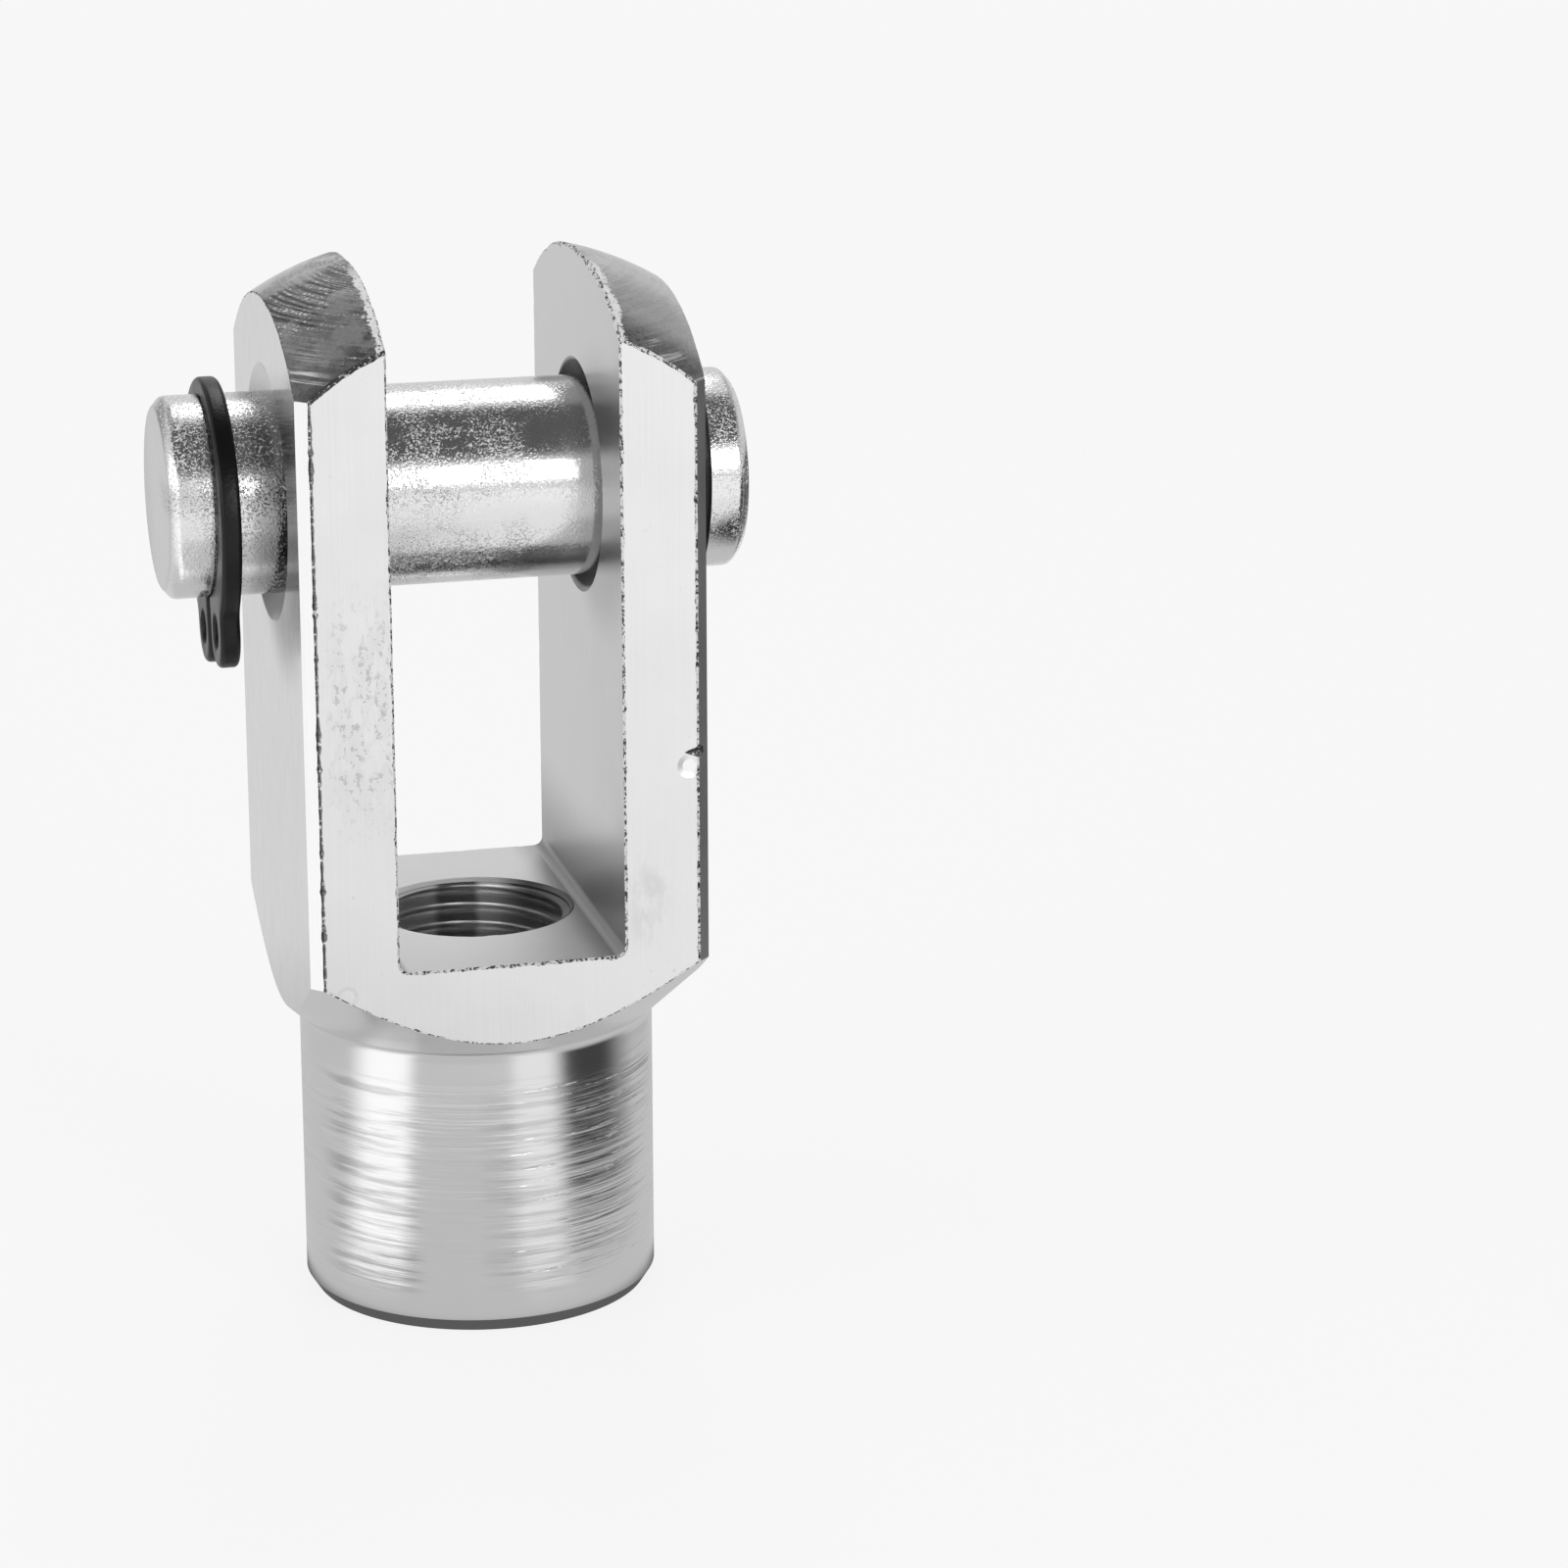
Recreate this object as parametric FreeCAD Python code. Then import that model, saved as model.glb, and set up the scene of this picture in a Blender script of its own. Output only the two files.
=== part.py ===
# Clevis rod end: a zinc-plated steel fork head on a round neck with a female thread,
# and a plain steel pin that two external retaining rings hold in the fork's ears.
# Millimetres. Origin at the centre of the neck's end face, +Z along the neck towards
# the ears, X along the pin, Y across the ears.
import FreeCAD
import Part
import math
import os

# Fork: square bar with a turned neck
body_width = 20.0
corner_chamfer = 0.6
neck_diameter = 18.0
neck_length = 14.7
neck_fillet = 1.0
foot_chamfer_width = 0.45
foot_chamfer_height = 0.7
shoulder_angle = 43.0

# Fork: slot between the ears, and the web under it
web_thickness = 5.0
slot_width = 11.3
slot_corner_radius = 0.5
slot_edge_chamfer = 0.2

# Fork: turned crown over both ears, flat in the middle and rounded outwards
pin_to_crown = 11.7
crown_flat_radius = 3.0
crown_radius = 13.5

# Fork: hole at the minor diameter of an M10 x 1 thread
thread_minor_diameter = 8.92
floor_countersink_diameter = 10.1
mouth_countersink_diameter = 9.9

# Pin and its bores
pin_diameter = 10.0
pin_clearance = 0.05
floor_to_pin = 22.2
bore_inner_chamfer = 0.85
bore_outer_chamfer = 1.35
pin_stub = 2.2
pin_end_chamfer = 0.5
groove_depth = 0.2
groove_width = 1.1

# Place of the pin at rest: the right ring close to its ear, the left ring well off its own
right_ring_gap = 0.2
left_ring_gap = 2.2

# Retaining rings: an eccentric open ring with two lugs for circlip pliers
ring_thickness = 1.0
ring_grip_clearance = 0.03
ring_back_width = 1.0
ring_offset = 0.6
ring_opening = 1.0
lug_height = 1.9
lug_spacing = 4.2
lug_radius = 1.8
lug_hole_diameter = 1.6
lug_fillet = 1.2
left_lug_angle = -10.0
right_lug_angle = 138.0

# Heights and radii that follow from the sizes above
half_width = body_width / 2
neck_radius = neck_diameter / 2
floor_height = neck_length + web_thickness
pin_height = floor_height + floor_to_pin
crown_height = pin_height + pin_to_crown
blank_radius = crown_flat_radius + crown_radius
thread_radius = thread_minor_diameter / 2
pin_radius = pin_diameter / 2
bore_radius = pin_radius + pin_clearance
groove_radius = pin_radius - groove_depth
groove_play = (groove_width - ring_thickness) / 2

# Stations along the pin
right_ring_x = half_width + right_ring_gap
left_ring_x = -half_width - left_ring_gap - ring_thickness
pin_right_x = right_ring_x + ring_thickness + groove_play + pin_stub
pin_left_x = left_ring_x - groove_play - pin_stub

AXIS_X = FreeCAD.Vector(1, 0, 0)
AXIS_Z = FreeCAD.Vector(0, 0, 1)
NECK_END = FreeCAD.Vector(0, 0, 0)
PIN_CENTRE = FreeCAD.Vector(0, 0, pin_height)


def turned(corners, axis_point, axis):
    """Revolve a closed outline of straight runs about an axis."""
    outline = Part.makePolygon(corners + corners[:1])
    return Part.Face(outline).revolve(axis_point, axis, 360)


def x_cylinder(radius, start, end):
    """A cylinder on the pin's axis, between two stations."""
    base = FreeCAD.Vector(start, 0, pin_height)
    return Part.makeCylinder(radius, end - start, base, AXIS_X)


def x_cone(start_radius, end_radius, start, end):
    """A cone on the pin's axis, between two stations."""
    base = FreeCAD.Vector(start, 0, pin_height)
    return Part.makeCone(start_radius, end_radius, end - start, base, AXIS_X)


def turned_blank():
    """The outer form about Z: foot chamfer, neck, conical shoulder and rounded crown."""
    shoulder_rise = (blank_radius - neck_radius) * math.tan(math.radians(shoulder_angle))
    arc_angle = math.radians(45)
    arc_centre = FreeCAD.Vector(crown_flat_radius, 0, crown_height - crown_radius)
    arc_offset = FreeCAD.Vector(math.cos(arc_angle), 0, math.sin(arc_angle)) * crown_radius
    below = [
        FreeCAD.Vector(crown_flat_radius, 0, crown_height),
        FreeCAD.Vector(0, 0, crown_height),
        NECK_END,
        FreeCAD.Vector(neck_radius - foot_chamfer_width, 0, 0),
        FreeCAD.Vector(neck_radius, 0, foot_chamfer_height),
        FreeCAD.Vector(neck_radius, 0, neck_length),
        FreeCAD.Vector(blank_radius, 0, neck_length + shoulder_rise),
        FreeCAD.Vector(blank_radius, 0, crown_height - crown_radius),
    ]
    straight = Part.makePolygon(below)
    crown = Part.Arc(below[-1], arc_centre + arc_offset, below[0]).toShape()
    outline = Part.Wire(straight.Edges + [crown])
    blank = Part.Face(outline).revolve(NECK_END, AXIS_Z, 360)
    neck_top = [
        edge
        for edge in blank.Edges
        if abs(edge.BoundBox.ZMin - neck_length) < 1e-6
        and abs(edge.BoundBox.ZMax - neck_length) < 1e-6
        and edge.Curve.TypeId == "Part::GeomCircle"
    ]
    return blank.makeFillet(neck_fillet, neck_top)


def square_bar():
    """The drawn bar that the fork is cut from, with its four long edges chamfered."""
    corner = FreeCAD.Vector(-half_width, -half_width, 0)
    bar = Part.makeBox(body_width, body_width, crown_height, corner)
    upright = [edge for edge in bar.Edges if edge.BoundBox.ZLength > crown_height / 2]
    return bar.makeChamfer(corner_chamfer, upright)


def slot_cutter():
    """The slot through both Y faces, with a small radius in its two floor corners."""
    corner = FreeCAD.Vector(-slot_width / 2, -body_width, floor_height)
    cutter = Part.makeBox(slot_width, 2 * body_width, crown_height, corner)
    floor_corners = [
        edge
        for edge in cutter.Edges
        if edge.BoundBox.YLength > body_width and edge.BoundBox.ZMax < floor_height + 1e-6
    ]
    return cutter.makeFillet(slot_corner_radius, floor_corners)


def break_slot_edges(fork):
    """Chamfer the rim that the slot leaves in the front and the back face."""
    rim = []
    for edge in fork.Edges:
        box = edge.BoundBox
        in_face = abs(abs(box.YMin) - half_width) < 1e-6 and box.YLength < 1e-6
        in_slot = max(abs(box.XMin), abs(box.XMax)) < slot_width / 2 + 1e-6
        if in_face and in_slot and box.ZMin > floor_height - 1e-6:
            rim.append(edge)
    return fork.makeChamfer(slot_edge_chamfer, rim)


def threaded_hole():
    """The hole through the neck, countersunk at its mouth and at the slot's floor."""
    floor_sink = floor_countersink_diameter / 2
    mouth_sink = mouth_countersink_diameter / 2
    corners = [
        FreeCAD.Vector(0, 0, 0),
        FreeCAD.Vector(mouth_sink, 0, 0),
        FreeCAD.Vector(thread_radius, 0, mouth_sink - thread_radius),
        FreeCAD.Vector(thread_radius, 0, floor_height - floor_sink + thread_radius),
        FreeCAD.Vector(floor_sink, 0, floor_height),
        FreeCAD.Vector(0, 0, floor_height),
    ]
    return turned(corners, NECK_END, AXIS_Z)


def cross_bore():
    """The pin's bore through both ears, chamfered inside and countersunk outside."""
    inside = slot_width / 2
    bore = x_cylinder(bore_radius, -body_width, body_width)
    for side in (-1, 1):
        inner = [inside * side, (inside + bore_inner_chamfer) * side]
        outer = [(half_width - bore_outer_chamfer) * side, half_width * side]
        inner_radii = [bore_radius + bore_inner_chamfer, bore_radius]
        outer_radii = [bore_radius, bore_radius + bore_outer_chamfer]
        if side < 0:
            inner.reverse()
            outer.reverse()
            inner_radii.reverse()
            outer_radii.reverse()
        bore = bore.fuse(x_cone(inner_radii[0], inner_radii[1], inner[0], inner[1]))
        bore = bore.fuse(x_cone(outer_radii[0], outer_radii[1], outer[0], outer[1]))
    return bore


def fork():
    """The fork head, one piece of steel."""
    head = turned_blank().common(square_bar())
    head = head.cut(slot_cutter())
    head = break_slot_edges(head)
    head = head.cut(threaded_hole())
    return head.cut(cross_bore())


def clevis_pin():
    """The pin: chamfered ends, and a groove for each retaining ring."""
    left_groove = left_ring_x - groove_play
    right_groove = right_ring_x - groove_play
    steps = [
        (pin_left_x, 0),
        (pin_left_x, pin_radius - pin_end_chamfer),
        (pin_left_x + pin_end_chamfer, pin_radius),
        (left_groove, pin_radius),
        (left_groove, groove_radius),
        (left_groove + groove_width, groove_radius),
        (left_groove + groove_width, pin_radius),
        (right_groove, pin_radius),
        (right_groove, groove_radius),
        (right_groove + groove_width, groove_radius),
        (right_groove + groove_width, pin_radius),
        (pin_right_x - pin_end_chamfer, pin_radius),
        (pin_right_x, pin_radius - pin_end_chamfer),
        (pin_right_x, 0),
    ]
    corners = [FreeCAD.Vector(x, 0, pin_height + radius) for x, radius in steps]
    return turned(corners, PIN_CENTRE, AXIS_X)


def disc(radius, y, z):
    """A flat disc of the ring's thickness, in the ring's own frame."""
    return Part.makeCylinder(radius, ring_thickness, FreeCAD.Vector(0, y, z), AXIS_X)


def retaining_ring(lug_angle, station):
    """An external retaining ring. It is drawn with its lugs down, then turned and placed."""
    inner_radius = groove_radius + ring_grip_clearance
    outer_radius = inner_radius + ring_back_width + ring_offset
    lug_distance = pin_radius + lug_height
    half_spacing = lug_spacing / 2
    lug_drop = math.sqrt(lug_distance ** 2 - half_spacing ** 2)
    ring = disc(outer_radius, 0, -ring_offset)
    for side in (-1, 1):
        y = side * half_spacing
        root = FreeCAD.Vector(0, y - lug_radius, -lug_drop)
        ring = ring.fuse(Part.makeBox(ring_thickness, 2 * lug_radius, lug_drop, root))
        ring = ring.fuse(disc(lug_radius, y, -lug_drop))
    ring = ring.cut(disc(inner_radius, 0, 0)).removeSplitter()
    side_y = half_spacing + lug_radius
    meet_z = -ring_offset - math.sqrt(outer_radius ** 2 - side_y ** 2)
    shoulders = [
        edge
        for edge in ring.Edges
        if edge.BoundBox.XLength > ring_thickness / 2
        and edge.BoundBox.YLength < 1e-6
        and abs(abs(edge.BoundBox.YMin) - side_y) < 1e-4
        and abs(edge.BoundBox.ZMin - meet_z) < 1e-4
    ]
    ring = ring.makeFillet(lug_fillet, shoulders)
    gap_corner = FreeCAD.Vector(0, -ring_opening / 2, -2 * lug_distance)
    ring = ring.cut(Part.makeBox(ring_thickness, ring_opening, 2 * lug_distance, gap_corner))
    for side in (-1, 1):
        ring = ring.cut(disc(lug_hole_diameter / 2, side * half_spacing, -lug_drop))
    ring.rotate(FreeCAD.Vector(0, 0, 0), AXIS_X, lug_angle)
    ring.translate(FreeCAD.Vector(station, 0, pin_height))
    return ring


NODES = {
    "fork": fork(),
    "clevis_pin": clevis_pin(),
    "left_retaining_ring": retaining_ring(left_lug_angle, left_ring_x),
    "right_retaining_ring": retaining_ring(right_lug_angle, right_ring_x),
}

os.makedirs("parts", exist_ok=True)
for name, shape in NODES.items():
    shape.exportStep("parts/" + name + ".step")
    print(name, "solids", len(shape.Solids), "valid", shape.isValid(), "volume", round(shape.Volume, 2))
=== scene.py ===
import math
import random

import bpy
from mathutils import Matrix, Vector


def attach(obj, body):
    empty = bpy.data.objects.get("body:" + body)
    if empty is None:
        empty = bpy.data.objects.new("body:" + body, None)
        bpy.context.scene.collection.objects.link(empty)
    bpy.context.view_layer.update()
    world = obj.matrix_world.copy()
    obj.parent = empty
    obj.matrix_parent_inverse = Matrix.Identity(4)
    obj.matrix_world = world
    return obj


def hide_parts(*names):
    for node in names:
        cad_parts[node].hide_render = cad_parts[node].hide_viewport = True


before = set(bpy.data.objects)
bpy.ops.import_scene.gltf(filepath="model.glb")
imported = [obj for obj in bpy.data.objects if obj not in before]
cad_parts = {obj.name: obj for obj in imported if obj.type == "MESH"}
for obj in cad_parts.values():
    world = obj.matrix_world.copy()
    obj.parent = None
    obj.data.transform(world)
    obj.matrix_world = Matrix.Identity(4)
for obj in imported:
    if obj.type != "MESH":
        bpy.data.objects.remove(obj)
bpy.ops.object.select_all(action="DESELECT")
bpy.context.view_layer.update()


# Camera: a long lens a quarter of a metre away, a little above the pin and
# to the left of the fork, which stands left of the picture's middle.
lens_place = (-0.046935, -0.242480, 0.096532)
lens_azimuth = -14.625
lens_elevation = 15.937
lens_roll = -0.115
lens_length = 116.24
bpy.ops.object.camera_add()
camera = bpy.context.object
camera.name = "camera"
camera.data.sensor_width = 36.0
camera.data.lens = lens_length
camera.data.clip_start = 0.005
camera.matrix_world = (
    Matrix.Translation(lens_place)
    @ Matrix.Rotation(math.radians(lens_azimuth), 4, "Z")
    @ Matrix.Rotation(math.radians(90 - lens_elevation), 4, "X")
    @ Matrix.Rotation(math.radians(lens_roll), 4, "Z")
)
bpy.context.scene.camera = camera
bpy.context.scene.view_settings.view_transform = "Standard"


# Studio: a white sheet under the part, softboxes behind, on the left and at the
# right of the lens, and a ceiling that stays dark above the lens, as gloss sees it.
lamp_aim = (0, 0, 0.030)


class Wire:
    """A shader socket that stands in sums and products as a number does."""

    def __init__(self, tree, socket=None):
        self.tree = tree
        self.socket = socket

    def node(self, kind, settings, sockets, result=0):
        """Add a node: its settings first, then a value or a wire for each socket."""
        made = self.tree.nodes.new(kind)
        for name, value in settings.items():
            setattr(made, name, value)
        for name, value in sockets.items():
            if isinstance(value, Wire):
                self.tree.links.new(value.socket, made.inputs[name])
            else:
                made.inputs[name].default_value = value
        if len(made.outputs) == 0:
            return None
        return Wire(self.tree, made.outputs[result])

    def maths(self, operation, *values):
        """A Math node on these values."""
        sockets = dict(enumerate(values))
        return self.node("ShaderNodeMath", {"operation": operation}, sockets)

    def __add__(self, other):
        return self.maths("ADD", self, other)

    def __sub__(self, other):
        return self.maths("SUBTRACT", self, other)

    def __mul__(self, other):
        return self.maths("MULTIPLY", self, other)

    def __rsub__(self, other):
        return self.maths("SUBTRACT", other, self)

    __radd__ = __add__
    __rmul__ = __mul__

    def step(self, start, end):
        """A soft step, from 0 at start to 1 at end."""
        sockets = {"Value": self, "From Min": start, "From Max": end}
        return self.node("ShaderNodeMapRange", {"interpolation_type": "SMOOTHSTEP"}, sockets)

    def between(self, start, end, soft):
        """1 between start and end, fading to 0 over a soft width on both sides."""
        return self.step(start - soft, start) * (1 - self.step(end, end + soft))

    def size(self):
        """The number without its sign."""
        return self.maths("ABSOLUTE", self)

    def most(self, other):
        """The larger of the two numbers."""
        return self.maths("MAXIMUM", self, other)

    def around(self, centre, near, far):
        """1 within the near distance of a centre, fading to 0 at the far one."""
        return 1 - (self - centre).size().step(near, far)

    def length(self):
        """The length of a vector."""
        return self.node("ShaderNodeVectorMath", {"operation": "LENGTH"}, {0: self}, "Value")

    def distance(self, point):
        """How far a place is from a point."""
        settings = {"operation": "DISTANCE"}
        return self.node("ShaderNodeVectorMath", settings, {0: self, 1: point}, "Value")

    def parts(self):
        """The three numbers of a vector."""
        split = self.node("ShaderNodeSeparateXYZ", {}, {0: self})
        return [Wire(self.tree, socket) for socket in split.socket.node.outputs]

    def stretch(self, x, y, z):
        """The vector with its three numbers scaled."""
        sockets = {0: self, 1: (x, y, z)}
        return self.node("ShaderNodeVectorMath", {"operation": "MULTIPLY"}, sockets)

    def grain(self, scale, detail, roughness):
        """Noise from 0 to 1, mostly near a half."""
        sockets = {"Vector": self, "Scale": scale, "Detail": detail, "Roughness": roughness}
        return self.node("ShaderNodeTexNoise", {}, sockets)

    def grey(self):
        """A grey colour of this level."""
        return self.node("ShaderNodeCombineColor", {}, {0: self, 1: self, 2: self})


def empty_tree(owner):
    """Clear a material's or the world's nodes, and return a wire to start from."""
    owner.use_nodes = True
    owner.node_tree.nodes.clear()
    return Wire(owner.node_tree)


def ray_kinds(start):
    """1 for rays from the lens, for rays off gloss, and for rays through glass."""
    path = start.node("ShaderNodeLightPath", {}, {})
    outputs = path.socket.node.outputs
    names = ("Is Camera Ray", "Is Glossy Ray", "Is Transmission Ray")
    return [Wire(start.tree, outputs[name]) for name in names]


def studio_world():
    """White for the lens; gloss sees a pale horizon under a dark ceiling."""
    world = bpy.data.worlds.new("studio")
    start = empty_tree(world)
    direction = start.node("ShaderNodeTexCoord", {}, {}, "Generated")
    x, y, z = direction.parts()
    above_lens = z.step(0.45, 0.68) * (1 - y.step(0.12, 0.36))
    right = x.step(0.30, 0.50) * z.step(0.20, 0.45)
    behind_left = z.step(0.58, 0.66) * (1 - x.step(-0.05, 0.10))
    low_left = z.between(0.14, 0.40, 0.10) * (1 - x.step(-0.20, -0.02)) * y.step(0.4, 0.7)
    dark = (0.60 * above_lens).most(0.24 * right).most(0.38 * behind_left).most(0.40 * low_left)
    seen, gloss, glass = ray_kinds(start)
    pale = seen.most(glass)
    plain = 0.55 * (1 - gloss) + gloss * (0.70 - dark)
    strength = plain * (1 - pale) + pale
    sockets = {"Color": (1, 1, 1, 1), "Strength": strength}
    light = start.node("ShaderNodeBackground", {}, sockets)
    start.node("ShaderNodeOutputWorld", {}, {"Surface": light})
    bpy.context.scene.world = world


def softbox(name, azimuth, elevation, distance, width, height, radiance):
    """A square lamp turned towards the part; sizes and distance in metres."""
    bpy.ops.object.light_add(type="AREA")
    lamp = bpy.context.object
    lamp.name = name
    lamp.data.shape = "RECTANGLE"
    lamp.data.size = width
    lamp.data.size_y = height
    lamp.data.energy = radiance * 4 * width * height
    turn = (
        Matrix.Rotation(math.radians(azimuth), 4, "Z")
        @ Matrix.Rotation(math.radians(90 - elevation), 4, "X")
    )
    out = Matrix.Translation((0, 0, distance))
    lamp.matrix_world = Matrix.Translation(lamp_aim) @ turn @ out
    lamp.visible_camera = False


def floor_paper(start):
    """Matt white paper, near to pure white for the lens. Gloss sees painted shade around the
    part and a painted shadow at its foot, painted bright lanes on the left and the right in
    place of lamps, and a painted dark and a grey lane past the right one."""
    seen, gloss, glass = ray_kinds(start)
    spot = start.node("ShaderNodeTexCoord", {}, {}, "Object")
    x, y, z = spot.parts()
    far = spot.length()
    bearing = x.maths("ARCTAN2", x, 0 - y) * (180 / math.pi)
    # Painted light and shade for gloss: bright lanes in place of lamps, a dark and a grey lane.
    left_lane = bearing.step(-98, -76) * (1 - bearing.step(-55, -46))
    right_lane = bearing.between(14, 31, 9) * (1 - far.step(0.08, 0.12))
    dark_lane = bearing.step(36, 46) * (1 - bearing.step(70, 104)) * far.step(0.018, 0.032)
    grey_lane = bearing.between(92, 125, 8) * far.step(0.04, 0.06)
    behind = y.step(0.0, 0.02)
    # Painted shadow close round the part's foot, as gloss sees it.
    near = far.step(0.0092, 0.0112)
    base = 0.60 + (0.32 - 0.20 * behind + 0.12 * x.step(0.015, 0.050)) * far.step(0.046, 0.066)
    lit = base + left_lane * (1.20 - base) + right_lane * (0.92 - base)
    lit = base + far.step(0.012, 0.020) * (lit - base)
    lit = lit * (1 - 0.92 * dark_lane) * (1 - 0.86 * grey_lane) * (0.20 + 0.80 * near)
    share = (0.82 + 0.18 * far.step(0.3, 1.2)) * seen.most(glass)
    level = gloss * lit + (1 - gloss)
    matt = start.node("ShaderNodeBsdfDiffuse", {}, {"Color": (0.88, 0.88, 0.88, 1)})
    white = start.node("ShaderNodeEmission", {}, {"Color": (1, 1, 1, 1), "Strength": level})
    both = start.node("ShaderNodeMixShader", {}, {0: share.most(gloss), 1: matt, 2: white})
    start.node("ShaderNodeOutputMaterial", {}, {"Surface": both})


studio_world()
softbox("softbox_behind", 166, 54, 0.60, 0.16, 0.26, 2.2)
softbox("softbox_right", 25, 20, 0.60, 0.34, 0.20, 2.4)
softbox("softbox_left", -75, 18, 0.30, 0.30, 0.10, 1.1)
bpy.ops.mesh.primitive_plane_add(size=6.0)
sheet = bpy.context.object
sheet.name = "paper_sheet"
paper = bpy.data.materials.new("paper")
floor_paper(empty_tree(paper))
sheet.data.materials.append(paper)


# Fork head: 20 mm square steel bar with a turned neck, shoulder and crown, milled
# through for the slot, cross-bored for the pin and threaded M10 x 1 up the neck.
# It is drawn in millimetres, and its edges are worn before the thread is cut.
body_half = 10.0
bar_low = -5
bar_high = 60
corner_cut = 0.6
neck_radius = 9.0
neck_length = 14.7
neck_fillet = 1.0
foot_chamfer = 0.7
foot_radius = 8.55
shoulder_angle = 43.0
shoulder_slope = math.tan(math.radians(shoulder_angle))
blank_radius = 16.5
crown_flat = 3.0
crown_radius = 13.5
crown_height = 53.6
crown_from = 30
slot_half = 5.65
slot_floor = 19.7
slot_corner = 0.5
slot_wide_open = 30
slot_past_crown = 70
pin_height = 41.9
bore_radius = 5.05
bore_inner_chamfer = 0.85
bore_outer_chamfer = 1.35
cutter_past = 1.0
thread_minor = 4.46
thread_major = 5.0
thread_pitch = 1.0
thread_crest = 0.33
thread_start = -3.0
thread_turns = 26
thread_sides = 96
thread_low = -1.0
thread_high = 21.0
floor_sink = 5.05
floor_sink_depth = 0.20
floor_sink_past = 0.05
mouth_sink = 4.95
mouth_sink_depth = 2.5
wear_pace = 0.22
rim_past = 0.4
strip_past = 0.2
metres = 0.001


def only(piece):
    """Make this the one selected and active object."""
    bpy.ops.object.select_all(action="DESELECT")
    piece.select_set(True)
    bpy.context.view_layer.objects.active = piece


def turn_up(name, steps, sides):
    """A turned shape about Z: a disc drawn up ring by ring; steps are heights and radii."""
    height, radius = steps[0]
    bpy.ops.mesh.primitive_circle_add(
        vertices=sides, radius=radius, fill_type="NGON", location=(0, 0, height)
    )
    piece = bpy.context.object
    piece.name = name
    bpy.ops.object.transform_apply(location=True)
    bpy.ops.object.mode_set(mode="EDIT")
    for next_height, next_radius in steps[1:]:
        rise = {"value": (0, 0, next_height - height)}
        bpy.ops.mesh.extrude_region_move(TRANSFORM_OT_translate=rise)
        ratio = next_radius / radius
        centre = (0, 0, next_height)
        bpy.ops.transform.resize(value=(ratio, ratio, 1), center_override=centre)
        height, radius = next_height, next_radius
    bpy.ops.mesh.select_all(action="SELECT")
    bpy.ops.mesh.normals_make_consistent(inside=False)
    bpy.ops.object.mode_set(mode="OBJECT")
    return piece


def place(piece, turn=(0, 0, 0), move=(0, 0, 0)):
    """Turn a piece by angles in degrees, move it, and keep its object at the origin."""
    only(piece)
    piece.rotation_euler = [math.radians(angle) for angle in turn]
    piece.location = move
    bpy.ops.object.transform_apply(location=True, rotation=True, scale=True)
    return piece


def to_metres(piece):
    """Bring a piece that is drawn in millimetres to metres."""
    piece.scale = (metres, metres, metres)
    place(piece)


def block(name, low, high):
    """A box between two corners."""
    middle = [(a + b) / 2 for a, b in zip(low, high)]
    bpy.ops.mesh.primitive_cube_add(size=1, location=middle)
    piece = bpy.context.object
    piece.name = name
    piece.scale = [b - a for a, b in zip(low, high)]
    bpy.ops.object.transform_apply(location=True, rotation=True, scale=True)
    return piece


def bevel_edges(piece, wanted, width, segments):
    """Bevel the edges whose two ends pass the test."""
    only(piece)
    bpy.ops.object.mode_set(mode="EDIT")
    bpy.ops.mesh.select_mode(type="EDGE")
    bpy.ops.mesh.select_all(action="DESELECT")
    bpy.ops.object.mode_set(mode="OBJECT")
    points = piece.data.vertices
    for edge in piece.data.edges:
        a, b = (points[index].co for index in edge.vertices)
        edge.select = wanted(a, b)
    bpy.ops.object.mode_set(mode="EDIT")
    bpy.ops.mesh.bevel(offset=width, segments=segments, profile=0.5, affect="EDGES")
    bpy.ops.object.mode_set(mode="OBJECT")


def join_solids(piece, tool, operation):
    """Cut a tool out of a piece, or add or intersect it; its faces bring their finish."""
    only(piece)
    step = piece.modifiers.new("solid", "BOOLEAN")
    step.operation = operation
    step.object = tool
    step.solver = "EXACT"
    step.material_mode = "TRANSFER"
    bpy.ops.object.modifier_apply(modifier=step.name)
    bpy.data.objects.remove(tool)


def arc(centre_height, centre_radius, size, start, end, count):
    """Heights and radii along an arc; angles in degrees from outwards, turning up."""
    steps = []
    for number in range(count + 1):
        angle = math.radians(start + (end - start) * number / count)
        height = centre_height + size * math.sin(angle)
        steps.append((height, centre_radius + size * math.cos(angle)))
    return steps


def finish_with(piece, material):
    """Give the whole piece one material."""
    piece.data.materials.clear()
    piece.data.materials.append(material)


def object_place(start):
    """The point on the part, in millimetres."""
    spot = start.node("ShaderNodeTexCoord", {}, {}, "Object")
    return spot.stretch(1 / metres, 1 / metres, 1 / metres)


def bumps(start, height, depth):
    """Marks of some depth in millimetres, for the Normal of a shader."""
    marks = {"Strength": 1.0, "Distance": depth * metres, "Height": height}
    return start.node("ShaderNodeBump", {}, marks)


def zinc_metal(start, colour, roughness, height=None, depth=0.02, metallic=1.0):
    """Bright zinc plate: its colour, its gloss, and marks of some depth in millimetres."""
    sockets = {"Base Color": colour, "Metallic": metallic, "Roughness": roughness}
    if height is not None:
        sockets["Normal"] = bumps(start, height, depth)
    metal = start.node("ShaderNodeBsdfPrincipled", {}, sockets)
    start.node("ShaderNodeOutputMaterial", {}, {"Surface": metal})


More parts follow.
